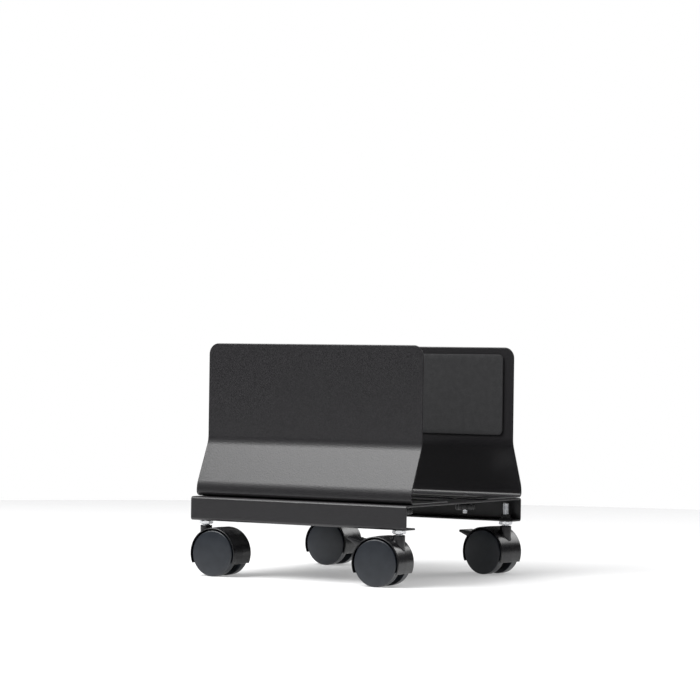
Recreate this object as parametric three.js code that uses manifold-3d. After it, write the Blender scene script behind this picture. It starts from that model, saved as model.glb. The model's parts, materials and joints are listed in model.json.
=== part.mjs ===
// Rolling holder for a desktop computer tower.
//
// A bent sheet-steel tray stands on four twin-wheel casters. Two bent side panels
// slide across the tray on slots to suit the tower's width, and four thumb nuts
// under the tray clamp them. Both rear casters have a brake lever.
//
// Frame: +X from the tower's front to its rear, +Y from its left side to its right,
// +Z up, origin on the floor under the middle of the tray. Millimetres.
import * as THREE from 'three';
import { mergeVertices } from 'three/addons/utils/BufferGeometryUtils.js';
import Module from 'manifold-3d';

const wasm = await Module();
wasm.setup();

// ---------------------------------------------------------------- dimensions
const GAP = 0.3;                  // air kept between separate pieces that touch
const THROUGH = 5;                // how far a hole's cutter stands out of a sheet

const TRAY = {
  length: 275,                    // along X
  width: 250,                     // over the two side webs
  top: 86,                        // height of the tray's top face
  depth: 26,                      // height of a side web
  lip: 20,                        // inward lip under each web, from the web's outer face
  sheet: 2,
  bend: 3,                        // outer bend radius
};

const PANEL = {
  length: 275,
  sheet: 1.5,
  top: 254,                       // height of the top edge
  kink: 147,                      // height of the corner where the flare begins
  flareEnd: 98,                   // height of the corner where the sheet is upright again
  flareOut: 21,                   // how far the flare leans out
  flareBend: 28,                  // centreline radius of both bends of the flare
  footBend: 4.5,                  // centreline radius of the bend into the flange
  flange: 57,                     // inward reach of the flange from the inner face
  lift: 0.5,                      // air between the flange and the tray
  corner: 12,                     // radius of the two top corners
  leftFace: -92.5,                // inner face of the left panel at rest
  rightFace: 103.5,               // inner face of the right panel at rest
};

const SLIDE = { inward: 38, outward: 6 };   // travel of each panel across the tray

const PAD = { length: 250, low: 156, high: 246, thick: 2.2, corner: 6 };
const STRIP = { length: 250, width: 14, thick: 1.5, reach: 50 };

const CLAMP = {
  x: 95,                          // bolts at plus and minus this X
  reach: 30,                      // bolt's distance inward from the panel's inner face
  boltR: 3,
  holeR: 3.3,
  headR: 6,
  headH: 1.2,
  low: 69,                        // lower end of the bolt
  washerR: 9,
  washerT: 1.2,
  nutR: 11,
  nutH: 9,
};

const CASTER = {
  x: 123.5,                       // stems at plus and minus this X
  y: 115,                         // and plus and minus this Y
  trail: 19,                      // axle's offset behind the swivel axis
  wheelR: 25,
  wheelIn: 7.6,                   // inner face of a wheel from the caster's mid-plane
  wheelOut: 19,                   // outer face
  hoodR: 28.3,
  hoodInR: 26.8,
  hoodHalf: 18,                   // half the hood's width
  hoodLow: 14,                    // height of the hood's lower edge
  webHalf: 7,                     // half the thickness of the web between the wheels
  bossR: 6.4,
  bossTop: 54.7,
  axleR: 3,
  axleHalf: 15.4,                 // half the axle's length
  stemR: 4,
};

const STEM = { pinLow: 27, grooveLow: 35.5, grooveHigh: 37.5, grooveR: 3, top: 80 };
const LOCK_NUT = { acrossFlats: 13, height: 3.7 };
const WELD_NUT = { outerR: 5.5, footR: 7.5, footH: 1, height: 5 };

const BRAKE = {
  pivot: [14, 15],                // pivot from the axle: backwards, upwards
  pinR: 1.5,
  lugHalf: 4.4,                   // half the width of the part in the hood's slot
  headHalf: 11.5,                 // half the width of the pedal
  pressed: 9,                     // degrees the pedal goes down
  windowHalf: 12,                 // half the width of the pedal's opening in the hood
};

const SEGMENTS = { wheel: 28, hood: 36, small: 14, bend: 5 };

// The four casters: where each stands and which way it trails at rest, in degrees.
const CORNERS = [
  { name: 'front_left', sx: -1, sy: -1, trails: 3, brake: null },
  { name: 'rear_left', sx: 1, sy: -1, trails: 184, brake: 'released' },
  { name: 'front_right', sx: -1, sy: 1, trails: 0, brake: null },
  { name: 'rear_right', sx: 1, sy: 1, trails: 171, brake: 'pressed' },
];

// ----------------------------------------------------------------- materials
const finish = (color, roughness, metalness) => () =>
  new THREE.MeshStandardMaterial({ color, roughness, metalness });
const blackSteel = finish(0x2b2b2e, 0.5, 0.4);
const zinc = finish(0xb8bcc0, 0.35, 0.9);
const blackPlastic = finish(0x17171a, 0.35, 0);
const wheelPlastic = finish(0x2c3036, 0.45, 0);
const foam = finish(0x1c1c1c, 0.95, 0);
const rubber = finish(0x222222, 0.9, 0);

// ------------------------------------------------------------- solid helpers
const radians = THREE.MathUtils.degToRad;

function signedVolume(positions, indices) {
  let sum = 0;
  const [a, b, c] = [new THREE.Vector3(), new THREE.Vector3(), new THREE.Vector3()];
  for (let i = 0; i < indices.length; i += 3) {
    a.fromArray(positions, 3 * indices[i]);
    b.fromArray(positions, 3 * indices[i + 1]);
    c.fromArray(positions, 3 * indices[i + 2]);
    sum += a.dot(b.cross(c)) / 6;
  }
  return sum;
}

// Turns a closed three.js geometry into a solid with outward faces.
function solid(geometry) {
  const bare = geometry.clone();
  bare.deleteAttribute('normal');
  bare.deleteAttribute('uv');
  const merged = mergeVertices(bare, 1e-4);
  const positions = new Float32Array(merged.attributes.position.array);
  const indices = [];
  const all = merged.index.array;
  for (let i = 0; i < all.length; i += 3) {
    const [p, q, r] = [all[i], all[i + 1], all[i + 2]];
    if (p !== q && q !== r && r !== p) indices.push(p, q, r);
  }
  if (signedVolume(positions, indices) < 0) indices.reverse();
  const mesh = new wasm.Mesh({
    numProp: 3,
    vertProperties: positions,
    triVerts: new Uint32Array(indices),
  });
  return new wasm.Manifold(mesh);
}

function toGeometry(body) {
  const mesh = body.getMesh();
  const geometry = new THREE.BufferGeometry();
  const positions = new Float32Array(mesh.vertProperties);
  geometry.setAttribute('position', new THREE.BufferAttribute(positions, 3));
  geometry.setIndex(new THREE.BufferAttribute(new Uint32Array(mesh.triVerts), 1));
  return geometry;
}

const join = (...bodies) => bodies.reduce((sum, body) => sum.add(body));
const cut = (body, ...tools) => tools.reduce((rest, tool) => rest.subtract(tool), body);

function outline(points) {
  return new THREE.Shape(points.map(([x, y]) => new THREE.Vector2(x, y)));
}

// A (Y, Z) outline drawn out along X between two planes.
function alongX(points, from, to) {
  const geometry = new THREE.ExtrudeGeometry(outline(points), {
    depth: to - from,
    bevelEnabled: false,
  });
  const axes = new THREE.Matrix4().makeBasis(
    new THREE.Vector3(0, 1, 0),
    new THREE.Vector3(0, 0, 1),
    new THREE.Vector3(1, 0, 0),
  );
  return geometry.applyMatrix4(axes).translate(from, 0, 0);
}

// An (X, Z) outline drawn out along Y, to the same distance on both sides of `middle`.
function alongY(points, half, middle = 0) {
  const geometry = new THREE.ExtrudeGeometry(outline(points), {
    depth: 2 * half,
    bevelEnabled: false,
  });
  return geometry.rotateX(Math.PI / 2).translate(0, middle + half, 0);
}

// An (X, Y) outline drawn out along Z between two heights.
function alongZ(points, from, to) {
  const geometry = new THREE.ExtrudeGeometry(outline(points), {
    depth: to - from,
    bevelEnabled: false,
  });
  return geometry.translate(0, 0, from);
}

// A closed (radius, distance along the axis) profile turned about Y.
function turnedAboutY(profile, segments, phase = 0) {
  const points = [...profile, profile[0]].map(([r, h]) => new THREE.Vector2(r, h));
  return new THREE.LatheGeometry(points, segments, phase);
}

const turnedAboutZ = (profile, segments, phase = 0) =>
  turnedAboutY(profile, segments, phase).rotateX(Math.PI / 2);

const tube = (inner, outer, low, high) => [
  [inner, low],
  [outer, low],
  [outer, high],
  [inner, high],
];

const rod = (radius, low, high) => tube(0, radius, low, high);

function box(x0, x1, y0, y1, z0, z1) {
  const geometry = new THREE.BoxGeometry(x1 - x0, y1 - y0, z1 - z0);
  return geometry.translate((x0 + x1) / 2, (y0 + y1) / 2, (z0 + z1) / 2);
}

// Points on an arc, angles in degrees.
function arc([cx, cy], radius, from, to, steps) {
  const points = [];
  for (let i = 0; i <= steps; i += 1) {
    const angle = radians(from + ((to - from) * i) / steps);
    points.push([cx + radius * Math.cos(angle), cy + radius * Math.sin(angle)]);
  }
  return points;
}

// An outline with straight sides and round ends, long in Y.
function slot(x, y0, y1, radius) {
  const steps = 8;
  return [...arc([x, y1], radius, 0, 180, steps), ...arc([x, y0], radius, 180, 360, steps)];
}

function rectangle(halfX, low, high, topCorner) {
  const steps = SEGMENTS.bend;
  return [
    [-halfX, low],
    [halfX, low],
    ...arc([halfX - topCorner, high - topCorner], topCorner, 0, 90, steps),
    ...arc([-halfX + topCorner, high - topCorner], topCorner, 90, 180, steps),
  ];
}

const group = new THREE.Group();
group.name = 'cpu_holder';

function addMesh(parent, name, body, material) {
  const mesh = new THREE.Mesh(toGeometry(body), material());
  mesh.name = name;
  parent.add(mesh);
  return mesh;
}

// ---------------------------------------------------------------- base tray
const clampY = {
  left: PANEL.leftFace + CLAMP.reach,
  right: PANEL.rightFace - CLAMP.reach,
};

// Half of the tray's section, from the lip round the web to the middle of the top.
function trayHalfSection() {
  const { width, top, depth, lip, sheet, bend } = TRAY;
  const half = width / 2;
  const low = top - depth;
  const inner = bend - sheet;
  const steps = SEGMENTS.bend;
  const outside = [
    [half - lip, low],
    ...arc([half - bend, low + bend], bend, 270, 360, steps),
    ...arc([half - bend, top - bend], bend, 0, 90, steps),
  ];
  const inside = [
    ...arc([half - bend, top - bend], inner, 90, 0, steps),
    ...arc([half - bend, low + bend], inner, 0, -90, steps),
    [half - lip, low + sheet],
  ];
  return { outside, inside };
}

function baseTray() {
  const { outside, inside } = trayHalfSection();
  const mirror = (points) => points.map(([y, z]) => [-y, z]).reverse();
  const section = [...outside, ...mirror(outside), ...mirror(inside), ...inside];
  const half = TRAY.length / 2;
  let tray = solid(alongX(section, -half, half));
  const low = TRAY.top - TRAY.depth;
  for (const sx of [-1, 1]) {
    const slots = [
      slot(sx * CLAMP.x, clampY.left - SLIDE.outward, clampY.left + SLIDE.inward, CLAMP.holeR),
      slot(sx * CLAMP.x, clampY.right - SLIDE.inward, clampY.right + SLIDE.outward, CLAMP.holeR),
    ];
    for (const points of slots) {
      tray = cut(tray, solid(alongZ(points, TRAY.top - THROUGH, TRAY.top + THROUGH)));
    }
    for (const sy of [-1, 1]) {
      const hole = turnedAboutZ(
        rod(CASTER.stemR + GAP, low - THROUGH, low + THROUGH),
        SEGMENTS.small,
      );
      hole.translate(sx * CASTER.x, sy * CASTER.y, 0);
      tray = cut(tray, solid(hole));
    }
  }
  return tray;
}

addMesh(group, 'base_tray', baseTray(), blackSteel);

// --------------------------------------------------------------- side panels
// Section of a panel whose inner face is the plane Y = 0, flaring out towards -Y.
// `side` is the offset from the sheet's centreline.
function panelLine(side) {
  const { sheet, top, kink, flareEnd, flareOut, flareBend, footBend, flange } = PANEL;
  const lean = Math.atan2(flareOut, kink - flareEnd);
  const degrees = THREE.MathUtils.radToDeg(lean);
  const setback = flareBend * Math.tan(lean / 2);
  const upright = -sheet / 2;
  const skirt = upright - flareOut;
  const middle = TRAY.top + PANEL.lift + sheet / 2;
  const steps = SEGMENTS.bend;
  return [
    [upright + side, top],
    ...arc([upright - flareBend, kink + setback], flareBend + side, 0, -degrees, steps),
    ...arc([skirt + flareBend, flareEnd - setback], flareBend - side, 180 - degrees, 180, steps),
    ...arc([skirt + footBend, middle + footBend], footBend - side, 180, 270, steps),
    [flange, middle + side],
  ];
}

function sidePanel() {
  const { sheet, length, top, corner, lift, flareOut, flange } = PANEL;
  const section = [...panelLine(sheet / 2), ...panelLine(-sheet / 2).reverse()];
  const half = length / 2;
  const bent = solid(alongX(section, -half, half));
  const face = solid(alongY(rectangle(half, TRAY.top, top, corner), flareOut + flange));
  let panel = bent.intersect(face);
  for (const sx of [-1, 1]) {
    const low = TRAY.top + lift - THROUGH;
    const hole = turnedAboutZ(rod(CLAMP.holeR, low, low + 2 * THROUGH), SEGMENTS.small);
    hole.translate(sx * CLAMP.x, CLAMP.reach, 0);
    panel = cut(panel, solid(hole));
  }
  return panel;
}

const flangeTop = panelLine(PANEL.sheet / 2).at(-1)[1];

function panelPad() {
  const half = PAD.length / 2;
  const { low, high, thick, corner } = PAD;
  const points = [
    ...arc([half - corner, low + corner], corner, -90, 0, 3),
    ...arc([half - corner, high - corner], corner, 0, 90, 3),
    ...arc([corner - half, high - corner], corner, 90, 180, 3),
    ...arc([corner - half, low + corner], corner, 180, 270, 3),
  ];
  return solid(alongY(points, thick / 2, GAP + thick / 2));
}

function antiSlipStrip() {
  const half = STRIP.length / 2;
  const [from, to] = [STRIP.reach - STRIP.width / 2, STRIP.reach + STRIP.width / 2];
  const low = flangeTop + GAP;
  return solid(box(-half, half, from, to, low, low + STRIP.thick));
}

function clampBolt() {
  const underHead = flangeTop + GAP;
  const { boltR, headR, headH, low } = CLAMP;
  const profile = [
    [0, low],
    [boltR - 0.6, low],
    [boltR, low + 0.6],
    [boltR, underHead],
    [headR, underHead],
    [headR - 0.5, underHead + headH - 0.3],
    [headR - 2.5, underHead + headH],
    [0, underHead + headH],
  ];
  return solid(turnedAboutZ(profile, SEGMENTS.small));
}

const washerTop = TRAY.top - TRAY.sheet - GAP;
const thumbNutTop = washerTop - CLAMP.washerT - GAP;

function clampWasher() {
  const { holeR, washerR, washerT } = CLAMP;
  const profile = tube(holeR, washerR, washerTop - washerT, washerTop);
  return solid(turnedAboutZ(profile, SEGMENTS.small));
}

// A round thumb nut with six shallow finger grooves.
function thumbNut() {
  const { nutR, nutH, holeR } = CLAMP;
  const low = thumbNutTop - nutH;
  const profile = [
    [holeR, low],
    [nutR - 1.5, low],
    [nutR, low + 1.5],
    [nutR, thumbNutTop - 3],
    [nutR - 4, thumbNutTop],
    [holeR, thumbNutTop],
  ];
  let nut = solid(turnedAboutZ(profile, 24));
  for (let i = 0; i < 6; i += 1) {
    const angle = (i * Math.PI) / 3;
    const groove = turnedAboutZ(rod(2.5, low - 1, thumbNutTop + 1), 10);
    groove.translate((nutR + 0.9) * Math.cos(angle), (nutR + 0.9) * Math.sin(angle), 0);
    nut = cut(nut, solid(groove));
  }
  return nut;
}

// Everything that slides with one panel, built for the left side and turned round
// for the right side.
function slidingSide(side, facePosition, turn) {
  const carrier = new THREE.Group();
  carrier.position.y = facePosition;
  carrier.rotation.z = turn;
  group.add(carrier);
  addMesh(carrier, `${side}_side_panel`, sidePanel(), blackSteel);
  addMesh(carrier, `${side}_panel_pad`, panelPad(), foam);
  addMesh(carrier, `${side}_anti_slip_strip`, antiSlipStrip(), rubber);
  const frontSign = turn === 0 ? -1 : 1;
  for (const [end, sx] of [['front', frontSign], ['rear', -frontSign]]) {
    const place = new THREE.Group();
    place.position.set(sx * CLAMP.x, CLAMP.reach, 0);
    carrier.add(place);
    addMesh(place, `${end}_${side}_clamp_bolt`, clampBolt(), zinc);
    addMesh(place, `${end}_${side}_clamp_washer`, clampWasher(), zinc);
    addMesh(place, `${end}_${side}_thumb_nut`, thumbNut(), blackPlastic);
  }
}

slidingSide('left', PANEL.leftFace, 0);
slidingSide('right', PANEL.rightFace, Math.PI);

// ------------------------------------------------------------------- casters
// A caster is built with its swivel axis on Z, trailing towards +X.
const axle = [CASTER.trail, CASTER.wheelR];
const atAxle = (geometry) => geometry.translate(axle[0], 0, axle[1]);

function hexagon(acrossFlats) {
  return arc([0, 0], acrossFlats / Math.sqrt(3), 0, 300, 5);
}

function lockNut(high) {
  const { acrossFlats, height } = LOCK_NUT;
  const low = high - height;
  const bore = turnedAboutZ(rod(CASTER.stemR + GAP, low - 1, high + 1), SEGMENTS.small);
  return cut(solid(alongZ(hexagon(acrossFlats), low, high)), solid(bore));
}

// Round weld nut on the lip, with a wide thin foot.
function weldNut(low) {
  const { outerR, footR, footH, height } = WELD_NUT;
  const bore = CASTER.stemR + GAP;
  const profile = [
    [bore, low],
    [footR, low],
    [footR, low + footH],
    [outerR, low + footH],
    [outerR, low + height],
    [bore, low + height],
  ];
  return solid(turnedAboutZ(profile, SEGMENTS.small));
}

function casterStem() {
  const { stemR } = CASTER;
  const { pinLow, grooveLow, grooveHigh, grooveR, top } = STEM;
  const profile = [
    [0, pinLow],
    [stemR - 1, pinLow],
    [stemR, pinLow + 1],
    [stemR, grooveLow],
    [grooveR, grooveLow],
    [grooveR, grooveHigh],
    [stemR, grooveHigh],
    [stemR, top - 1],
    [stemR - 1, top],
    [0, top],
  ];
  return solid(turnedAboutZ(profile, SEGMENTS.small));
}

// Spring ring that sits in the stem's groove and keeps the caster on it.
function gripRing() {
  const { grooveLow, grooveHigh, grooveR } = STEM;
  const profile = tube(
    grooveR + GAP,
    CASTER.stemR + 0.8,
    grooveLow + GAP,
    grooveHigh - GAP,
  );
  return solid(turnedAboutZ(profile, SEGMENTS.small));
}

// Pedal and lug of the brake lever in the plane of the wheels, from the axle.
function leverOutlines() {
  const [px, pz] = BRAKE.pivot;
  const lug = [
    ...arc([px, pz], 3.6, 110, 290, 8),
    [21.5, 15.8],
    [26, 19.5],
    [23, 22.4],
    [17, 21.2],
  ];
  const pedal = [
    [17.6, 21.2],
    [21, 16.2],
    [24, 16.6],
    [37.5, 24.5],
    [37.3, 26.9],
    [22, 22.8],
  ];
  return { lug, pedal };
}

function brakeLever() {
  const { lug, pedal } = leverOutlines();
  const body = join(
    solid(alongY(lug, BRAKE.lugHalf)),
    solid(alongY(pedal, BRAKE.headHalf)),
  );
  const bore = turnedAboutY(rod(BRAKE.pinR + GAP, -20, 20), SEGMENTS.small);
  return cut(body, solid(bore.translate(BRAKE.pivot[0], 0, BRAKE.pivot[1])));
}

function leverPin() {
  const half = CASTER.webHalf - 0.2;
  const pin = turnedAboutY(rod(BRAKE.pinR, -half, half), 12);
  return solid(atAxle(pin.translate(BRAKE.pivot[0], 0, BRAKE.pivot[1])));
}

// Room in the hood for the lever at both ends of its travel.
function leverRoom() {
  const slotRoom = [
    ...arc(BRAKE.pivot, 4.6, 100, 300, 8),
    [20.5, 10.5],
    [41, 10.5],
    [41, 34],
    [14, 34],
  ];
  const window = [
    [16.4, 20.2],
    [22, 12.6],
    [41, 12.6],
    [41, 34],
    [16.4, 34],
  ];
  return join(
    solid(alongY(slotRoom, BRAKE.lugHalf + 0.5)),
    solid(alongY(window, BRAKE.windowHalf)),
  );
}

function casterHousing(withBrake) {
  const { hoodR, hoodInR, hoodHalf, hoodLow, webHalf, bossR, bossTop } = CASTER;
  const { axleR, stemR, trail } = CASTER;
  const shellProfile = [
    [hoodInR, -hoodHalf],
    [hoodR - 0.8, -hoodHalf],
    [hoodR, 0.8 - hoodHalf],
    [hoodR, hoodHalf - 0.8],
    [hoodR - 0.8, hoodHalf],
    [hoodInR, hoodHalf],
  ];
  const shell = solid(atAxle(turnedAboutY(shellProfile, SEGMENTS.hood)));
  const web = solid(atAxle(turnedAboutY(rod(hoodInR + 0.7, -webHalf, webHalf), SEGMENTS.hood)));
  const boss = solid(turnedAboutZ(rod(bossR, hoodLow + 5, bossTop), 24));
  const below = solid(box(-50, 80, -40, 40, -20, hoodLow));
  const axleBore = solid(atAxle(turnedAboutY(rod(axleR + GAP, -20, 20), SEGMENTS.small)));
  const stemBore = solid(turnedAboutZ(rod(stemR + GAP, STEM.pinLow - 1, 70), SEGMENTS.small));
  const ringRoom = solid(
    turnedAboutZ(rod(stemR + 1.1, STEM.grooveLow - 0.3, STEM.grooveHigh + 0.3), SEGMENTS.small),
  );
  let housing = cut(join(shell, web, boss), below, axleBore, stemBore, ringRoom);
  if (withBrake) {
    const pinBore = turnedAboutY(rod(BRAKE.pinR + GAP, -20, 20), 12);
    pinBore.translate(BRAKE.pivot[0], 0, BRAKE.pivot[1]);
    const room = leverRoom().translate([trail, 0, CASTER.wheelR]);
    housing = cut(housing, room, solid(atAxle(pinBore)));
  }
  return housing;
}

// One wheel, outer face towards +Y or -Y. A flat facet of its rim meets the floor.
function wheel(sign) {
  const { wheelR, wheelIn, wheelOut, axleR } = CASTER;
  const rimR = wheelR / Math.cos(Math.PI / SEGMENTS.wheel);
  const boreEnd = wheelOut - 3;
  const recess = 4;
  const profile = [
    [0, boreEnd],
    [axleR + GAP, boreEnd],
    [axleR + GAP, wheelIn],
    [7, wheelIn],
    [7, wheelIn + recess],
    [20.5, wheelIn + recess],
    [20.5, wheelIn],
    [rimR, wheelIn],
    [rimR, wheelOut - 1.4],
    [rimR - 0.9, wheelOut - 0.5],
    [0, wheelOut],
  ];
  const placed = profile.map(([r, h]) => [r, sign * h]);
  const phase = Math.PI / SEGMENTS.wheel;
  return solid(atAxle(turnedAboutY(placed, SEGMENTS.wheel, phase)));
}

function wheelAxle() {
  const { axleR, axleHalf } = CASTER;
  return solid(atAxle(turnedAboutY(rod(axleR, -axleHalf, axleHalf), SEGMENTS.small)));
}

const lipLow = TRAY.top - TRAY.depth;
const lipTop = lipLow + TRAY.sheet;

function addCaster({ name, sx, sy, trails, brake }) {
  const fixed = new THREE.Group();
  fixed.position.set(sx * CASTER.x, sy * CASTER.y, 0);
  group.add(fixed);
  addMesh(fixed, `${name}_caster_stem`, casterStem(), zinc);
  addMesh(fixed, `${name}_lock_nut`, lockNut(lipLow - GAP), zinc);
  addMesh(fixed, `${name}_weld_nut`, weldNut(lipTop + GAP), blackSteel);

  const swivel = new THREE.Group();
  swivel.rotation.z = radians(trails);
  fixed.add(swivel);
  addMesh(swivel, `${name}_caster_housing`, casterHousing(brake !== null), blackPlastic);
  addMesh(swivel, `${name}_grip_ring`, gripRing(), zinc);
  addMesh(swivel, `${name}_axle`, wheelAxle(), zinc);
  const outward = sy * Math.sign(Math.cos(radians(trails)));
  addMesh(swivel, `${name}_outer_wheel`, wheel(outward), wheelPlastic);
  addMesh(swivel, `${name}_inner_wheel`, wheel(-outward), wheelPlastic);

  if (brake !== null) {
    addMesh(swivel, `${name}_brake_pin`, leverPin(), zinc);
    const pivot = new THREE.Group();
    pivot.position.set(axle[0] + BRAKE.pivot[0], 0, axle[1] + BRAKE.pivot[1]);
    pivot.rotation.y = brake === 'pressed' ? radians(BRAKE.pressed) : 0;
    swivel.add(pivot);
    const lever = brakeLever().translate([-BRAKE.pivot[0], 0, -BRAKE.pivot[1]]);
    addMesh(pivot, `${name}_brake_lever`, lever, blackPlastic);
  }
}

CORNERS.forEach(addCaster);

export default group;
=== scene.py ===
"""Looks of a rolling holder for a desktop computer tower.

Every piece is built in millimetres in its own simple frame, then scaled to metres and
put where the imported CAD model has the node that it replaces.
"""

import json
import math

import bmesh
import bpy
from mathutils import Matrix, Vector


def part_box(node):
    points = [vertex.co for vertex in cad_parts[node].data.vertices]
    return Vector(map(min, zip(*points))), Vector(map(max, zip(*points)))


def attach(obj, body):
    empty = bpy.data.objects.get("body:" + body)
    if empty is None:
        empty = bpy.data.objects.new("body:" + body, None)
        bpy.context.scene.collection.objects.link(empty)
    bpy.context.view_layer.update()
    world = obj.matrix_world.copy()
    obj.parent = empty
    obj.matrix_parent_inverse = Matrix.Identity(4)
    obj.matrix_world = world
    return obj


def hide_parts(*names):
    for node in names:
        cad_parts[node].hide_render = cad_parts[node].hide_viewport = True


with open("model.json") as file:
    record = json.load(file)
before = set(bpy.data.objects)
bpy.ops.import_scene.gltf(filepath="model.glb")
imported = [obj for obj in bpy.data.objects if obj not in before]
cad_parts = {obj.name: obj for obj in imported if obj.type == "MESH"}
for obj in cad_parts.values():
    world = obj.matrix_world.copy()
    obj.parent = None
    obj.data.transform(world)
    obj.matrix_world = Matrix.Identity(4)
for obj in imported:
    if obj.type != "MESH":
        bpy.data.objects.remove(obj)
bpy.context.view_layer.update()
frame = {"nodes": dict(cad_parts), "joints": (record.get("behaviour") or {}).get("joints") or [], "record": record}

MM = 0.001
SCENE = bpy.context.scene

# ---------------------------------------------------------------- dimensions, mm
TRAY = {"sheet": 2.0, "bend": 2.0, "lip": 20.0, "edge": 0.45, "corner": 1.5}
PANEL = {
    "sheet": 1.5,
    "edge": 0.7,
    "kink": 147.0,          # height of the corner where the flare begins
    "flare_end": 98.0,      # height of the corner where the sheet is upright again
    "flare_out": 21.0,
    "flare_bend": 28.0,
    "foot_bend": 4.5,
    "flange": 57.0,         # reach of the flange inwards from the inner face
    "corner": 12.0,
    "flange_corner": 4.0,
}
CLAMP = {
    "reach": 30.0,          # bolt's distance inwards from the panel's inner face
    "hole": 3.3,
    "head": 6.0,
    "head_height": 1.2,
    "bolt": 3.0,
    "nut": 11.0,
    "collar": 7.0,
}
SLIDE_SLOT = {"inward": 38.0, "outward": 6.0}
CASTER = {
    "wheel": 25.0,
    "wheel_in": 7.6,
    "wheel_out": 19.0,
    "hood": 28.3,
    "hood_in": 26.8,
    "hood_half": 18.0,
    "hood_low": 14.0,
    "web_half": 7.0,
    "boss": 6.4,
    "boss_top": 54.7,
    "axle": 3.0,
    "stem": 4.0,
}
BRAKE = {"pivot": (14.0, 15.0), "bore": 1.7, "lug_half": 4.4, "head_half": 11.5}
RING_GROOVE = {"radius": 3.0, "low": 35.5, "high": 37.5}
WELD_NUT = {"collar": 5.5, "foot": 7.5, "foot_height": 1.0}
THREAD = {"m8_pitch": 1.25, "m6_pitch": 1.0}
CAMERA = {
    "lens": 141.1,
    "yaw": 32.21,
    "pitch": -0.28,
    "roll": 0.8,
    "place": (1.6108, -2.5776, 0.2338),     # metres
}

# ------------------------------------------------------------------ from the frame
record = frame["record"]
body_of_node = {n: b for b, ns in record["behaviour"]["bodies"].items() for n in ns}
slot_of_node = {s["node"]: s["material_slot"] for s in record["subparts"]}
joints = {j["name"]: j for j in frame["joints"]}
CORNERS = ("front_left", "rear_left", "front_right", "rear_right")
SIDES = ("left", "right")


def node_box(node):
    """Lowest and highest corner of a CAD node, in millimetres."""
    low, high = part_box(node)
    return low / MM, high / MM


def metres(point):
    return Vector(point) * MM


# ------------------------------------------------------------------------ materials
def new_material(name, **values):
    """A Principled material whose uniform values sit on the shader's own sockets."""
    material = bpy.data.materials.new(name)
    material.use_nodes = True
    shader = material.node_tree.nodes["Principled BSDF"]
    for socket, value in values.items():
        shader.inputs[socket.replace("_", " ")].default_value = value
    return material, material.node_tree, shader


def noise(tree, size, detail=2.0, stretch=None):
    """Noise whose grains are about `size` millimetres, in the piece's own coordinates."""
    place = tree.nodes.new("ShaderNodeTexCoord")
    vector = place.outputs["Object"]
    if stretch:
        mapping = tree.nodes.new("ShaderNodeMapping")
        mapping.inputs["Scale"].default_value = stretch
        tree.links.new(vector, mapping.inputs["Vector"])
        vector = mapping.outputs["Vector"]
    texture = tree.nodes.new("ShaderNodeTexNoise")
    texture.inputs["Scale"].default_value = 1.0 / (size * MM)
    texture.inputs["Detail"].default_value = detail
    tree.links.new(vector, texture.inputs["Vector"])
    return texture.outputs["Fac"]


def ramp(tree, factor, low, high, start=0.35, end=0.65):
    """Maps the middle of a noise factor to the range between two values or colours."""
    node = tree.nodes.new("ShaderNodeValToRGB")
    for element, position, value in zip(node.color_ramp.elements, (start, end), (low, high)):
        element.position = position
        element.color = (*value, 1) if isinstance(value, tuple) else (value, value, value, 1)
    tree.links.new(factor, node.inputs["Fac"])
    return node.outputs["Color"]


def bump(tree, shader, *layers):
    """Adds bump layers, each a (factor, strength, depth in millimetres)."""
    normal = None
    for factor, strength, depth in layers:
        node = tree.nodes.new("ShaderNodeBump")
        node.inputs["Strength"].default_value = strength
        node.inputs["Distance"].default_value = depth * MM
        tree.links.new(factor, node.inputs["Height"])
        if normal:
            tree.links.new(normal, node.inputs["Normal"])
        normal = node.outputs["Normal"]
    tree.links.new(normal, shader.inputs["Normal"])


def powder_coat():
    material, tree, shader = new_material("black_powder_coat", Specular_IOR_Level=0.34)
    grain = noise(tree, 0.9, 3.0)
    tree.links.new(
        ramp(tree, grain, (0.0045, 0.0043, 0.0050), (0.0100, 0.0094, 0.0106)),
        shader.inputs["Base Color"],
    )
    tree.links.new(ramp(tree, grain, 0.33, 0.39), shader.inputs["Roughness"])
    bump(tree, shader, (grain, 0.5, 0.06), (noise(tree, 1.6, 1.0), 1.0, 0.09))
    return material


def zinc():
    material, tree, shader = new_material("zinc_plate", Metallic=1.0)
    stain = noise(tree, 3.0, 3.0)
    tree.links.new(
        ramp(tree, stain, (0.72, 0.73, 0.75), (0.90, 0.91, 0.92)),
        shader.inputs["Base Color"],
    )
    fine = noise(tree, 0.5, 2.0, stretch=(1, 1, 0.25))
    tree.links.new(ramp(tree, fine, 0.24, 0.40), shader.inputs["Roughness"])
    bump(tree, shader, (fine, 0.2, 0.03))
    return material


def hood_plastic():
    material, tree, shader = new_material("black_nylon", Specular_IOR_Level=0.4)
    grain = noise(tree, 0.45, 2.0)
    tree.links.new(
        ramp(tree, noise(tree, 12.0), (0.0040, 0.0040, 0.0048), (0.0060, 0.0060, 0.0070)),
        shader.inputs["Base Color"],
    )
    tree.links.new(ramp(tree, grain, 0.24, 0.32), shader.inputs["Roughness"])
    bump(tree, shader, (grain, 0.15, 0.04))
    return material


def wheel_plastic():
    material, tree, shader = new_material("charcoal_nylon", Specular_IOR_Level=0.4)
    grain = noise(tree, 0.5, 2.0)
    tree.links.new(
        ramp(tree, noise(tree, 9.0), (0.0060, 0.0080, 0.0115), (0.0090, 0.0115, 0.0155)),
        shader.inputs["Base Color"],
    )
    tree.links.new(ramp(tree, grain, 0.30, 0.38), shader.inputs["Roughness"])
    bump(tree, shader, (grain, 0.12, 0.04))
    return material


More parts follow.
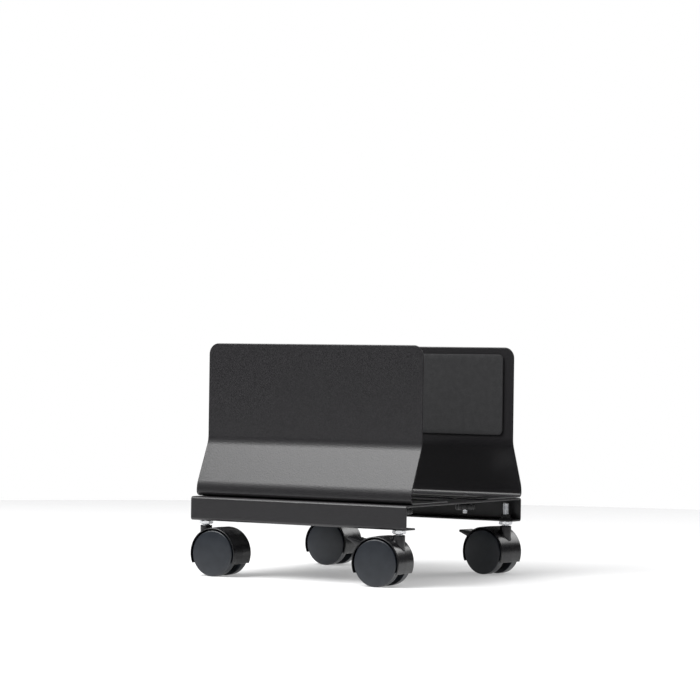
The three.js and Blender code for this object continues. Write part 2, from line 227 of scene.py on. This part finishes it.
def foam():
    material, tree, shader = new_material("black_foam", Specular_IOR_Level=0.25)
    cells = tree.nodes.new("ShaderNodeTexVoronoi")
    cells.inputs["Scale"].default_value = 1.0 / (0.55 * MM)
    place = tree.nodes.new("ShaderNodeTexCoord")
    tree.links.new(place.outputs["Object"], cells.inputs["Vector"])
    pores = cells.outputs["Distance"]
    tree.links.new(
        ramp(tree, pores, (0.010, 0.010, 0.011), (0.024, 0.024, 0.025), 0.1, 0.6),
        shader.inputs["Base Color"],
    )
    tree.links.new(ramp(tree, noise(tree, 6.0), 0.82, 0.95), shader.inputs["Roughness"])
    bump(tree, shader, (pores, 0.5, 0.18), (noise(tree, 9.0), 0.2, 0.3))
    return material


def rubber():
    material, tree, shader = new_material("black_rubber", Specular_IOR_Level=0.4)
    dust = noise(tree, 1.2, 3.0)
    tree.links.new(
        ramp(tree, dust, (0.013, 0.013, 0.013), (0.024, 0.024, 0.024)),
        shader.inputs["Base Color"],
    )
    tree.links.new(ramp(tree, dust, 0.62, 0.78), shader.inputs["Roughness"])
    bump(tree, shader, (dust, 0.25, 0.06))
    return material


MATERIALS = {
    "powder_coat": powder_coat(),
    "zinc": zinc(),
    "black_plastic": hood_plastic(),
    "wheel_plastic": wheel_plastic(),
    "foam": foam(),
    "rubber": rubber(),
}


# ------------------------------------------------------------------- mesh helpers
def filleted(corners, steps=5):
    """A closed outline from (x, y, radius) corners, each rounded with its radius."""
    points = []
    count = len(corners)
    for i, (x, y, radius) in enumerate(corners):
        here = Vector((x, y))
        if radius <= 0:
            points.append((x, y))
            continue
        before = (Vector(corners[i - 1][:2]) - here).normalized()
        after = (Vector(corners[(i + 1) % count][:2]) - here).normalized()
        half = before.angle(after) / 2
        centre = here + (before + after).normalized() * radius / math.sin(half)
        start = here + before * radius / math.tan(half) - centre
        end = here + after * radius / math.tan(half) - centre
        first = math.atan2(start.y, start.x)
        turn = (math.atan2(end.y, end.x) - first + math.pi) % math.tau - math.pi
        for k in range(steps + 1):
            angle = first + turn * k / steps
            points.append((centre.x + radius * math.cos(angle), centre.y + radius * math.sin(angle)))
    return points


def arc(centre, radius, start, end, steps):
    """Points on an arc, angles in degrees."""
    angles = [math.radians(start + (end - start) * k / steps) for k in range(steps + 1)]
    return [(centre[0] + radius * math.cos(a), centre[1] + radius * math.sin(a)) for a in angles]


def turned(profile, segments=96, radius_at=None):
    """A closed (radius, height) profile turned about Z. radius_at(r, angle) may shape it."""
    bm = bmesh.new()
    rings = []
    for radius, height in profile:
        if radius < 1e-6:
            rings.append([bm.verts.new((0, 0, height))])
            continue
        ring = []
        for k in range(segments):
            angle = math.tau * k / segments
            r = radius_at(radius, angle) if radius_at else radius
            ring.append(bm.verts.new((r * math.cos(angle), r * math.sin(angle), height)))
        rings.append(ring)
    for i, ring in enumerate(rings):
        following = rings[(i + 1) % len(rings)]
        if len(ring) == 1 and len(following) == 1:
            continue
        for k in range(segments):
            n = (k + 1) % segments
            if len(ring) == 1:
                bm.faces.new((ring[0], following[n], following[k]))
            elif len(following) == 1:
                bm.faces.new((ring[k], ring[n], following[0]))
            else:
                bm.faces.new((ring[k], ring[n], following[n], following[k]))
    return bm


def threaded_rod(radius, pitch, low, high, thread_from, segments=28):
    """A rod with a helical thread, 0.6 pitch deep, at the heights that thread_from accepts."""
    depth = 0.6 * pitch
    per_turn = 6
    count = int((high - low) / pitch * per_turn)
    bm = bmesh.new()
    rings = []
    for i in range(count + 1):
        height = low + (high - low) * i / count
        chamfer = max(0.0, 0.9 - (high - height), 0.9 - (height - low))
        ring = []
        for k in range(segments):
            turn = k / segments
            phase = (height / pitch - turn) % 1.0
            groove = depth * abs(2 * phase - 1) if thread_from(height) else 0.0
            r = radius - groove - chamfer
            angle = math.tau * turn
            ring.append(bm.verts.new((r * math.cos(angle), r * math.sin(angle), height)))
        rings.append(ring)
    for ring, above in zip(rings, rings[1:]):
        for k in range(segments):
            n = (k + 1) % segments
            bm.faces.new((ring[k], ring[n], above[n], above[k]))
    bm.faces.new(rings[0][::-1])
    bm.faces.new(rings[-1])
    return bm


def plate(outlines, thickness, edge):
    """A flat plate in the XY plane with holes and rounded edges, middle of the sheet at Z = 0."""
    curve = bpy.data.curves.new("plate", "CURVE")
    curve.dimensions = "2D"
    curve.fill_mode = "BOTH"
    curve.extrude = thickness / 2 - edge
    curve.bevel_depth = edge
    curve.bevel_resolution = 1
    curve.offset = -edge
    for points in outlines:
        spline = curve.splines.new("POLY")
        spline.points.add(len(points) - 1)
        for point, (x, y) in zip(spline.points, points):
            point.co = (x, y, 0, 1)
        spline.use_cyclic_u = True
    source = bpy.data.objects.new("plate", curve)
    SCENE.collection.objects.link(source)
    depsgraph = bpy.context.evaluated_depsgraph_get()
    mesh = bpy.data.meshes.new_from_object(source.evaluated_get(depsgraph))
    bpy.data.objects.remove(source)
    bm = bmesh.new()
    bm.from_mesh(mesh)
    bmesh.ops.remove_doubles(bm, verts=bm.verts, dist=1e-4)
    bpy.data.meshes.remove(mesh)
    return bm


def extruded(outline, half, edge=0.3):
    """An (x, z) outline drawn out along Y to both sides, with rounded edges."""
    bm = plate([outline], 2 * half, edge)
    bm.transform(Matrix.Rotation(math.pi / 2, 4, "X"))
    return bm


def path_length(size, turn):
    return size * abs(math.radians(turn)) if turn else size


def fold(bm, path, start, heading, steps=8):
    """Bends a flat pattern whose Y is the distance along `path`.

    The path is a list of (length, 0) straights and (radius, degrees) bends, and the
    pattern's Z becomes the distance from the sheet's middle, to the left of the path.
    """
    distance = 0.0
    for size, turn in path:
        length = path_length(size, turn)
        for k in range(steps + 1 if turn else 0):
            geometry = bm.verts[:] + bm.edges[:] + bm.faces[:]
            at = distance + length * k / steps
            bmesh.ops.bisect_plane(bm, geom=geometry, plane_co=(0, at, 0), plane_no=(0, 1, 0))
        distance += length
    for vertex in bm.verts:
        along, offset = vertex.co.y, vertex.co.z
        y, z, angle = *start, math.radians(heading)
        for size, turn in path:
            step = min(along, path_length(size, turn))
            if turn:
                side = math.copysign(size, turn)
                centre = (y - side * math.sin(angle), z + side * math.cos(angle))
                angle += step / side
                y, z = centre[0] + side * math.sin(angle), centre[1] - side * math.cos(angle)
            else:
                y, z = y + step * math.cos(angle), z + step * math.sin(angle)
            along -= step
        vertex.co = (vertex.co.x, y - offset * math.sin(angle), z + offset * math.cos(angle))
    return bm


def as_object(name, bm, placement=Matrix.Identity(4), sharp=32):
    """A mesh object in metres from a bmesh in millimetres."""
    bmesh.ops.recalc_face_normals(bm, faces=bm.faces)
    mesh = bpy.data.meshes.new(name)
    bm.to_mesh(mesh)
    bm.free()
    mesh.transform(placement @ Matrix.Scale(MM, 4))
    mesh.shade_smooth()
    mesh.set_sharp_from_angle(angle=math.radians(sharp))
    made = bpy.data.objects.new(name, mesh)
    SCENE.collection.objects.link(made)
    return made


def apply_modifiers(piece):
    depsgraph = bpy.context.evaluated_depsgraph_get()
    mesh = bpy.data.meshes.new_from_object(piece.evaluated_get(depsgraph))
    piece.modifiers.clear()
    old, piece.data = piece.data, mesh
    bpy.data.meshes.remove(old)


def combine(piece, tool, operation):
    """Joins a tool solid to a piece, or cuts it away."""
    modifier = piece.modifiers.new("boolean", "BOOLEAN")
    modifier.object = tool
    modifier.operation = operation
    modifier.solver = "MANIFOLD"
    apply_modifiers(piece)
    bpy.data.objects.remove(tool)


def even_normals(piece):
    """Large flat faces keep their own normal beside narrow rounded edges."""
    modifier = piece.modifiers.new("normals", "WEIGHTED_NORMAL")
    modifier.keep_sharp = True
    modifier.weight = 100


def adopt(piece, node):
    """The piece stands for a CAD node: its place, body, slot and material."""
    slot = slot_of_node[node]
    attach(piece, body_of_node[node])
    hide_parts(node)
    piece.data.materials.clear()
    piece.data.materials.append(MATERIALS[slot])
    return piece


# ------------------------------------------------------------------------ base tray
def panel_face(side):
    """Y of a side panel's inner face, in millimetres."""
    low, high = node_box(f"{side}_side_panel")
    return high.y - PANEL["flange"] if side == "left" else low.y + PANEL["flange"]


def slot_outline(x, y0, y1, radius):
    return arc((x, y1), radius, 0, 180, 12) + arc((x, y0), radius, 180, 360, 12)


def circle(x, y, radius, count=32):
    return arc((x, y), radius, 0, 360 * (count - 1) / count, count - 1)


def base_tray():
    low, high = node_box("base_tray")
    sheet, bend, lip = TRAY["sheet"], TRAY["bend"], TRAY["lip"]
    outer_bend = bend + sheet / 2
    half_x, half_y = high.x, high.y
    straight_lip = lip - outer_bend
    web = high.z - low.z - 2 * outer_bend
    top = 2 * (half_y - outer_bend)
    path = [
        (straight_lip, 0),
        (bend, -90),
        (web, 0),
        (bend, -90),
        (top, 0),
        (bend, -90),
        (web, 0),
        (bend, -90),
        (straight_lip, 0),
    ]
    total = sum(path_length(*step) for step in path)
    middle = total / 2
    outlines = [
        filleted([
            (-half_x, 0, TRAY["corner"]),
            (half_x, 0, TRAY["corner"]),
            (half_x, total, TRAY["corner"]),
            (-half_x, total, TRAY["corner"]),
        ])
    ]
    for end in ("front", "rear"):
        for side, inward in (("left", 1), ("right", -1)):
            bolt = joints[f"{end}_{side}_thumb_nut_turn"]["pos_m"]
            x, y = bolt[0] / MM, bolt[1] / MM
            ends = sorted((y - inward * SLIDE_SLOT["outward"], y + inward * SLIDE_SLOT["inward"]))
            outlines.append(slot_outline(x, middle + ends[0], middle + ends[1], CLAMP["hole"]))
    for corner in CORNERS:
        stem = joints[f"{corner}_swivel"]["pos_m"]
        from_edge = lip - (half_y - abs(stem[1] / MM))
        s = from_edge if stem[1] < 0 else total - from_edge
        outlines.append(circle(stem[0] / MM, s, CASTER["stem"] + 0.3, 24))
    bm = plate(outlines, sheet, TRAY["edge"])
    fold(bm, path, (-half_y + lip, low.z + sheet / 2), 180)
    return adopt(as_object("tray_sheet", bm), "base_tray")


# ---------------------------------------------------------------------- side panels
def side_frame(side):
    """From a panel's own frame, inner face at Y = 0 and flaring to -Y, to the row's."""
    turn = Matrix.Identity(4) if side == "left" else Matrix.Rotation(math.pi, 4, "Z")
    return Matrix.Translation(metres((0, panel_face(side), 0))) @ turn


def side_panel(side):
    low, high = node_box(f"{side}_side_panel")
    sheet, bend, foot = PANEL["sheet"], PANEL["flare_bend"], PANEL["foot_bend"]
    drop = PANEL["kink"] - PANEL["flare_end"]
    lean = math.atan2(PANEL["flare_out"], drop)
    setback = bend * math.tan(lean / 2)
    turn = math.degrees(lean)
    path = [
        (high.z - PANEL["kink"] - setback, 0),
        (bend, -turn),
        (math.hypot(PANEL["flare_out"], drop) - 2 * setback, 0),
        (bend, turn),
        (PANEL["flare_end"] - setback - low.z - sheet / 2 - foot, 0),
        (foot, 90),
        (PANEL["flange"] + sheet / 2 + PANEL["flare_out"] - foot, 0),
    ]
    total = sum(path_length(*step) for step in path)
    half = high.x
    outlines = [
        filleted([
            (-half, 0, PANEL["corner"]),
            (half, 0, PANEL["corner"]),
            (half, total, PANEL["flange_corner"]),
            (-half, total, PANEL["flange_corner"]),
        ], 8)
    ]
    hole_s = total - (PANEL["flange"] - CLAMP["reach"])
    for end in ("front", "rear"):
        x = joints[f"{end}_{side}_thumb_nut_turn"]["pos_m"][0] / MM
        outlines.append(circle(x, hole_s, CLAMP["hole"]))
    bm = plate(outlines, sheet, PANEL["edge"])
    fold(bm, path, (-sheet / 2, high.z), -90, steps=12)
    return adopt(as_object(f"{side}_panel_sheet", bm, side_frame(side)), f"{side}_side_panel")


def panel_pad(side):
    """A thin foam pad with soft edges."""
    node = f"{side}_panel_pad"
    low, high = node_box(node)
    thick = high.y - low.y
    half, tall = high.x, (high.z - low.z) / 2
    corner, soft_edge = 6, 0.9
    corners = ((-half, -tall), (half, -tall), (half, tall), (-half, tall))
    bm = plate([filleted([(x, z, corner) for x, z in corners], 8)], thick, soft_edge)
    bm.transform(Matrix.Rotation(math.pi / 2, 4, "X"))
    middle = metres(((low + high) / 2))
    pad = adopt(as_object(f"{side}_foam_pad", bm, Matrix.Translation(middle), 60), node)
    return pad


def anti_slip_strip(side):
    """A rubber strip with lengthwise ribs, flat underneath."""
    node = f"{side}_anti_slip_strip"
    low, high = node_box(node)
    width, thick, half = high.y - low.y, high.z - low.z, high.x
    ribs = 5
    pitch = (width - 1.0) / ribs
    outline = [
        (-width / 2, -thick / 2, 0.1),
        (width / 2, -thick / 2, 0.1),
        (width / 2, thick / 2 - 0.5, 0.3),
    ]
    for k in range(ribs):
        right = width / 2 - 0.5 - k * pitch
        outline += [
            (right, thick / 2, 0.25),
            (right - pitch + 0.9, thick / 2, 0.25),
            (right - pitch + 0.7, thick / 2 - 0.6, 0.15),
            (right - pitch + 0.2, thick / 2 - 0.6, 0.15),
        ]
    outline += [(-width / 2, thick / 2 - 0.5, 0.2)]
    bm = extruded(filleted(outline, 3), half, 0.12)
    bm.transform(Matrix.Rotation(math.pi / 2, 4, "Z"))
    middle = Matrix.Translation(metres((low + high) / 2))
    return adopt(as_object(f"{side}_rubber_strip", bm, middle, 40), node)


# --------------------------------------------------------------------- clamp pieces
def on_bolt(end, side):
    x, y, _ = joints[f"{end}_{side}_thumb_nut_turn"]["pos_m"]
    return Matrix.Translation((x, y, 0))


def clamp_bolt(end, side):
    node = f"{end}_{side}_clamp_bolt"
    low, high = node_box(node)
    head, bolt, head_height = CLAMP["head"], CLAMP["bolt"], CLAMP["head_height"]
    under = high.z - head_height
    crown = 16.0
    edge = 90 - math.degrees(math.asin(head / crown))
    dome = arc((0, high.z - crown), crown, 90, edge, 8)
    rim = max(under + 0.15, dome[-2][1] - 0.1)
    cap = turned([*dome[:-1], (head, rim), (head - 0.15, under), (0, under)], 48)
    rod = threaded_rod(bolt, THREAD["m6_pitch"], low.z, under + 0.4, lambda z: z < high.z - 6)
    piece = as_object(f"{end}_{side}_coach_bolt", rod, on_bolt(end, side))
    combine(piece, as_object("cap", cap, on_bolt(end, side)), "UNION")
    piece.data.shade_smooth()
    piece.data.set_sharp_from_angle(angle=math.radians(35))
    return adopt(piece, node)


def clamp_washer(end, side):
    node = f"{end}_{side}_clamp_washer"
    low, high = node_box(node)
    inner, outer = CLAMP["hole"], (high.x - low.x) / 2
    profile = filleted(
        [(inner, low.z, 0.1), (outer, low.z, 0.35), (outer, high.z, 0.1), (inner, high.z, 0.1)], 3
    )
    bm = turned(profile, 56)
    return adopt(as_object(f"{end}_{side}_flat_washer", bm, on_bolt(end, side)), node)


def thumb_nut(end, side):
    """A moulded star knob with six soft finger grooves and a collar."""
    node = f"{end}_{side}_thumb_nut"
    low, high = node_box(node)
    outer, inner, collar = CLAMP["nut"], CLAMP["hole"], CLAMP["collar"]
    lobes, depth = 6, 2.0

    def scalloped(radius, angle):
        share = max(0.0, (radius - collar) / (outer - collar))
        wave = 0.5 + 0.5 * math.cos(lobes * angle)
        return radius - depth * share * wave * wave

    profile = filleted([
        (inner, low.z, 0.2),
        (outer, low.z, 1.6),
        (outer, high.z - 2.6, 1.4),
        (collar + 0.4, high.z - 2.0, 0.8),
        (collar, high.z, 0.4),
        (inner, high.z, 0.2),
    ], 5)
    bm = turned(profile, 120, scalloped)
    return adopt(as_object(f"{end}_{side}_star_knob", bm, on_bolt(end, side), 40), node)


# -------------------------------------------------------------------------- casters
def caster_frame(corner):
    """From a caster's own frame, stem on Z and trailing towards +X, to the row's."""
    stem = Vector(joints[f"{corner}_swivel"]["pos_m"])
    wheel = Vector(joints[f"{corner}_outer_wheel_spin"]["pos_m"])
    trail = wheel - stem
    turn = Matrix.Rotation(math.atan2(trail.y, trail.x), 4, "Z")
    return Matrix.Translation((stem.x, stem.y, 0)) @ turn


def trail_length():
    corner = CORNERS[0]
    stem = Vector(joints[f"{corner}_swivel"]["pos_m"])
    wheel = Vector(joints[f"{corner}_outer_wheel_spin"]["pos_m"])
    return (wheel - stem).xy.length / MM


TRAIL = trail_length()
AT_AXLE = Matrix.Translation((TRAIL, 0, CASTER["wheel"]))
ALONG_AXLE = AT_AXLE @ Matrix.Rotation(-math.pi / 2, 4, "X")


def on_axle(bm):
    """Turns a piece made about Z so that it lies about the axle."""
    bm.transform(ALONG_AXLE)
    return bm


def hex_nut(low, high, across_flats, bore):
    """A hexagon nut with chamfered corners and a countersunk bore."""
    flat = across_flats / 2
    crown = flat * 0.96
    slope = math.tan(math.radians(30))
    segments = 96
    bm = bmesh.new()
    rings = []

    def ring(radius_height):
        made = []
        for k in range(segments):
            angle = math.tau * k / segments
            from_middle = (angle + math.pi / 6) % (math.pi / 3) - math.pi / 6
            radius, height = radius_height(flat / math.cos(from_middle))
            made.append(bm.verts.new((radius * math.cos(angle), radius * math.sin(angle), height)))
        rings.append(made)

    ring(lambda edge: (bore, low + 0.5))
    ring(lambda edge: (bore + 0.5, low))
    ring(lambda edge: (crown, low))
    ring(lambda edge: (edge, low + (edge - crown) * slope))
    ring(lambda edge: (edge, high - (edge - crown) * slope))
    ring(lambda edge: (crown, high))
    ring(lambda edge: (bore + 0.5, high))
    ring(lambda edge: (bore, high - 0.5))
    for i, one in enumerate(rings):
        following = rings[(i + 1) % len(rings)]
        for k in range(segments):
            n = (k + 1) % segments
            bm.faces.new((one[k], one[n], following[n], following[k]))
    return bm


def caster_nuts_and_stem(corner):
    place = caster_frame(corner)
    stem_place = Matrix.Translation(place.translation)
    bore = CASTER["stem"] + 0.3
    node = f"{corner}_lock_nut"
    low, high = node_box(node)
    bm = hex_nut(low.z, high.z, min(high.x - low.x, high.y - low.y), bore)
    adopt(as_object(f"{corner}_hexagon_nut", bm, stem_place, 20), node)
    node = f"{corner}_weld_nut"
    low, high = node_box(node)
    collar, foot = WELD_NUT["collar"], WELD_NUT["foot"]
    step = low.z + WELD_NUT["foot_height"]
    bm = turned(filleted([
        (bore, low.z, 0.2),
        (foot, low.z, 0.2),
        (foot, step, 0.4),
        (collar, step, 0.8),
        (collar, high.z, 0.5),
        (bore, high.z, 0.2),
    ]), 64)
    adopt(as_object(f"{corner}_round_weld_nut", bm, stem_place, 40), node)
    node = f"{corner}_caster_stem"
    low, high = node_box(node)
    thread_start = CASTER["boss_top"] + 0.4
    rod = threaded_rod(
        CASTER["stem"], THREAD["m8_pitch"], low.z, high.z, lambda z: z > thread_start
    )
    piece = as_object(f"{corner}_threaded_stem", rod, stem_place)
    radius, low, high = (RING_GROOVE[k] for k in ("radius", "low", "high"))
    outside = CASTER["stem"] + 2
    groove = turned([(radius, low), (outside, low), (outside, high), (radius, high)], 64)
    combine(piece, as_object("groove", groove, stem_place), "DIFFERENCE")
    piece.data.shade_smooth()
    piece.data.set_sharp_from_angle(angle=math.radians(50))
    adopt(piece, node)


def hood_section():
    """Hood and the web between the wheels, as a (radius, side) section about the axle.

    The outside is widest at the parting line in the middle and tapers to both rims.
    """
    hood, hood_in, half, web = (CASTER[k] for k in ("hood", "hood_in", "hood_half", "web_half"))
    bore = CASTER["axle"] + 0.2
    rim = hood - 0.35
    return filleted([
        (bore, -web, 0.2),
        (hood_in, -web, 1.0),
        (hood_in, -half, 0.2),
        (rim, -half, 0.5),
        (hood, 0, 0),
        (rim, half, 0.5),
        (hood_in, half, 0.2),
        (hood_in, web, 1.0),
        (bore, web, 0.2),
    ], 4)


def hood_outline():
    """Side view of the hood from the axle: a disc cut off below, with round corners."""
    radius = CASTER["hood"] + 0.1
    below = math.degrees(math.asin((CASTER["hood_low"] - CASTER["wheel"]) / radius))
    points = [(x, z, 0) for x, z in arc((0, 0), radius, below, 180 - below, 60)]
    corner = 1.2
    points[0] = (*points[0][:2], corner)
    points[-1] = (*points[-1][:2], corner)
    return filleted(points, 6)


def stem_boss():
    """Swivel boss, a little wider at the top, with its bore left open."""
    top, radius = CASTER["boss_top"], CASTER["boss"]
    return turned(filleted([
        (0, 20, 0),
        (radius - 1.2, 20, 0),
        (radius, top - 8, 6),
        (radius, top, 0.7),
        (0, top, 0),
    ]), 64)


def lever_room():
    """Space cut out of the hood for the brake lever."""
    px, pz = BRAKE["pivot"]
    slot = arc((px, pz), 4.6, 100, 300, 10) + [(20.5, 10.5), (41, 10.5), (41, 34), (14, 34)]
    window = [(16.4, 20.2), (22, 12.6), (41, 12.6), (41, 34), (16.4, 34)]
    return (
        extruded(slot, BRAKE["lug_half"] + 0.5, 0.2),
        extruded(window, BRAKE["head_half"] + 0.5, 0.2),
    )


def housing_mesh(with_brake):
    """One caster housing in its own frame, in metres, joined and softened as moulded."""
    piece = as_object("housing", on_axle(turned(hood_section(), 480)))
    envelope = extruded(hood_outline(), 25, 0.1)
    envelope.transform(AT_AXLE)
    combine(piece, as_object("envelope", envelope), "INTERSECT")
    combine(piece, as_object("boss", stem_boss()), "UNION")
    bore = turned([(0, 26), (4.3, 26), (4.3, 80), (0, 80)], 40)
    combine(piece, as_object("bore", bore), "DIFFERENCE")
    if with_brake:
        for room in lever_room():
            room.transform(AT_AXLE)
            combine(piece, as_object("room", room), "DIFFERENCE")
    remesh = piece.modifiers.new("remesh", "REMESH")
    remesh.mode = "VOXEL"
    remesh.voxel_size = 0.36 * MM
    smooth = piece.modifiers.new("smooth", "SMOOTH")
    smooth.factor = 0.5
    smooth.iterations = 6
    thin = piece.modifiers.new("thin", "DECIMATE")
    thin.ratio = 0.25
    apply_modifiers(piece)
    mesh = piece.data
    mesh.shade_smooth()
    bpy.data.objects.remove(piece)
    return mesh


HOUSINGS = {}


def caster_housing(corner):
    with_brake = f"{corner}_brake_press" in joints
    if with_brake not in HOUSINGS:
        HOUSINGS[with_brake] = housing_mesh(with_brake)
    mesh = HOUSINGS[with_brake].copy()
    mesh.transform(caster_frame(corner))
    piece = bpy.data.objects.new(f"{corner}_hood", mesh)
    SCENE.collection.objects.link(piece)
    return adopt(piece, f"{corner}_caster_housing")


def wheel(corner, which):
    """A nylon wheel: flat tread with soft shoulders, and a slightly domed outer face."""
    node = f"{corner}_{which}_wheel"
    radius, inside, outside = (CASTER[k] for k in ("wheel", "wheel_in", "wheel_out"))
    low, high = node_box(node)
    place = caster_frame(corner)
    middle = place.inverted() @ metres((low + high) / 2)
    sign = 1 if middle.y > 0 else -1
    bore = CASTER["axle"] + 0.3
    dome = 320.0
    profile = filleted([
        (0, outside - 3, 0),
        (bore, outside - 3, 0),
        (bore, inside, 0.3),
        (7, inside, 0.4),
        (7, inside + 4, 0.6),
        (20.5, inside + 4, 0.8),
        (20.5, inside, 0.4),
        (radius, inside, 0.5),
        (radius, outside - 1.1, 1.3),
        *((r, outside - r * r / (2 * dome), 0) for r in (18, 12, 6, 0)),
    ], 6)
    bm = turned([(r, sign * h) for r, h in profile], 112)
    on_axle(bm)
    return adopt(as_object(f"{corner}_{which}_nylon_wheel", bm, place, 40), node)


def brake_lever(corner):
    """Rocker between the wheels with a wide ribbed pedal."""
    joint = joints[f"{corner}_brake_press"]
    pressed = -joint["range_deg"][0]
    px, pz = BRAKE["pivot"]
    lug = arc((px, pz), 3.6, 110, 290, 12) + [(21.5, 15.8), (26, 19.5), (23, 22), (17, 21)]
    tip, root, ribs = Vector((37.3, 26.3)), Vector((22.0, 22.2)), 5
    top = []
    for k in range(ribs):
        for share, rise in ((0.1, 0.0), (0.3, 0.6), (0.7, 0.6), (0.9, 0.0)):
            x, z = tip.lerp(root, (k + share) / ribs)
            top.append((x, z + rise))
    pedal = [(17.6, 21.2), (21, 16.2), (24, 16.6), (37.5, 24.5), *top, (19.5, 22.2)]
    piece = as_object(f"{corner}_pedal", extruded(pedal, BRAKE["head_half"], 0.35))
    combine(piece, as_object("lug", extruded(lug, BRAKE["lug_half"], 0.2)), "UNION")
    hole, reach = BRAKE["bore"], 20
    bore = turned([(0, -reach), (hole, -reach), (hole, reach), (0, reach)], 24)
    bore.transform(Matrix.Translation((px, 0, pz)) @ Matrix.Rotation(math.pi / 2, 4, "X"))
    combine(piece, as_object("bore", bore), "DIFFERENCE")
    pivot = Matrix.Translation(metres((px, 0, pz)))
    press = pivot @ Matrix.Rotation(math.radians(pressed), 4, "Y") @ pivot.inverted()
    to_axle = Matrix.Translation(metres(AT_AXLE.translation))
    piece.data.transform(caster_frame(corner) @ to_axle @ press)
    piece.data.shade_smooth()
    piece.data.set_sharp_from_angle(angle=math.radians(32))
    return adopt(piece, f"{corner}_brake_lever")


def hidden_metal(node):
    """A small turned CAD piece inside a caster keeps its own shape."""
    piece = frame["nodes"][node]
    piece.data.materials.clear()
    piece.data.materials.append(MATERIALS["zinc"])
    edge = piece.modifiers.new("edge", "BEVEL")
    edge.width = 0.15 * MM
    edge.segments = 2
    edge.limit_method = "ANGLE"
    edge.angle_limit = math.radians(40)


# ------------------------------------------------------------------- stage and view
def floor():
    """A pale round table top that glows a little, so that it stays white under the holder."""
    size = 1.6
    mesh = bpy.data.meshes.new("studio_floor")
    corners = circle(0, 0, size, 72)
    mesh.from_pydata([(x, y, 0) for x, y in corners], [], [list(range(len(corners)))])
    plane = bpy.data.objects.new("studio_floor", mesh)
    SCENE.collection.objects.link(plane)
    material, _, _ = new_material(
        "studio_floor",
        Base_Color=(0.93, 0.93, 0.935, 1),
        Roughness=0.2,
        Emission_Color=(1, 1, 1, 1),
        Emission_Strength=0.32,
    )
    plane.data.materials.append(material)


def softbox(name, size, radiance, azimuth, elevation, distance, aim=(0, 0, 0.12)):
    """An area light aimed at the holder, in metres, with its power set from its radiance.

    Azimuth 0 is on the -Y side and 90 on the +X side.
    """
    data = bpy.data.lights.new(name, "AREA")
    data.shape = "RECTANGLE"
    data.size, data.size_y = size
    data.energy = 4 * size[0] * size[1] * radiance
    a, e = math.radians(azimuth), math.radians(elevation)
    offset = Vector((math.sin(a) * math.cos(e), -math.cos(a) * math.cos(e), math.sin(e)))
    lamp = bpy.data.objects.new(name, data)
    lamp.location = Vector(aim) + offset * distance
    lamp.rotation_euler = (-offset).to_track_quat("-Z", "Y").to_euler()
    SCENE.collection.objects.link(lamp)


def surroundings():
    """White behind the holder, but a dark room in its reflections."""
    world = bpy.data.worlds.new("pale_studio")
    world.use_nodes = True
    SCENE.world = world
    SCENE.view_settings.view_transform = "Standard"
    tree = world.node_tree
    seen = tree.nodes.new("ShaderNodeLightPath").outputs["Is Camera Ray"]
    background = tree.nodes["Background"]
    tree.links.new(ramp(tree, seen, 0.05, 1.0, 0.0, 1.0), background.inputs["Color"])


def camera():
    """The photograph's viewing angle: a long lens, 32 degrees round, about level."""
    data = bpy.data.cameras.new("camera")
    data.sensor_width = 36.0
    data.lens = CAMERA["lens"]
    yaw, pitch, roll = (math.radians(CAMERA[k]) for k in ("yaw", "pitch", "roll"))
    back = Vector((
        math.sin(yaw) * math.cos(pitch),
        -math.cos(yaw) * math.cos(pitch),
        math.sin(pitch),
    ))
    across = Vector((math.cos(yaw), math.sin(yaw), 0))
    up = back.cross(across)
    right = across * math.cos(roll) + up * math.sin(roll)
    up = back.cross(right)
    eye = bpy.data.objects.new("camera", data)
    turn = Matrix((right, up, back)).transposed().to_4x4()
    eye.matrix_world = Matrix.Translation(CAMERA["place"]) @ turn
    SCENE.collection.objects.link(eye)
    SCENE.camera = eye


# --------------------------------------------------------------------------- build
even_normals(base_tray())
for side in SIDES:
    even_normals(side_panel(side))
    panel_pad(side)
    anti_slip_strip(side)
    for end in ("front", "rear"):
        clamp_bolt(end, side)
        clamp_washer(end, side)
        thumb_nut(end, side)
for corner in CORNERS:
    caster_nuts_and_stem(corner)
    caster_housing(corner)
    wheel(corner, "outer")
    wheel(corner, "inner")
    for hidden in ("grip_ring", "axle"):
        hidden_metal(f"{corner}_{hidden}")
    if f"{corner}_brake_press" in joints:
        brake_lever(corner)
        hidden_metal(f"{corner}_brake_pin")

floor()
softbox("key", (1.6, 1.0), 10, -32, 42, 2.2)
softbox("top_strip", (1.6, 0.8), 7, -32, 68, 2.2)
softbox("overhead", (6.0, 6.0), 0.5, 0, 90, 2.4)
softbox("back_fill", (1.6, 1.0), 4, 155, 30, 2.6)
surroundings()
camera()
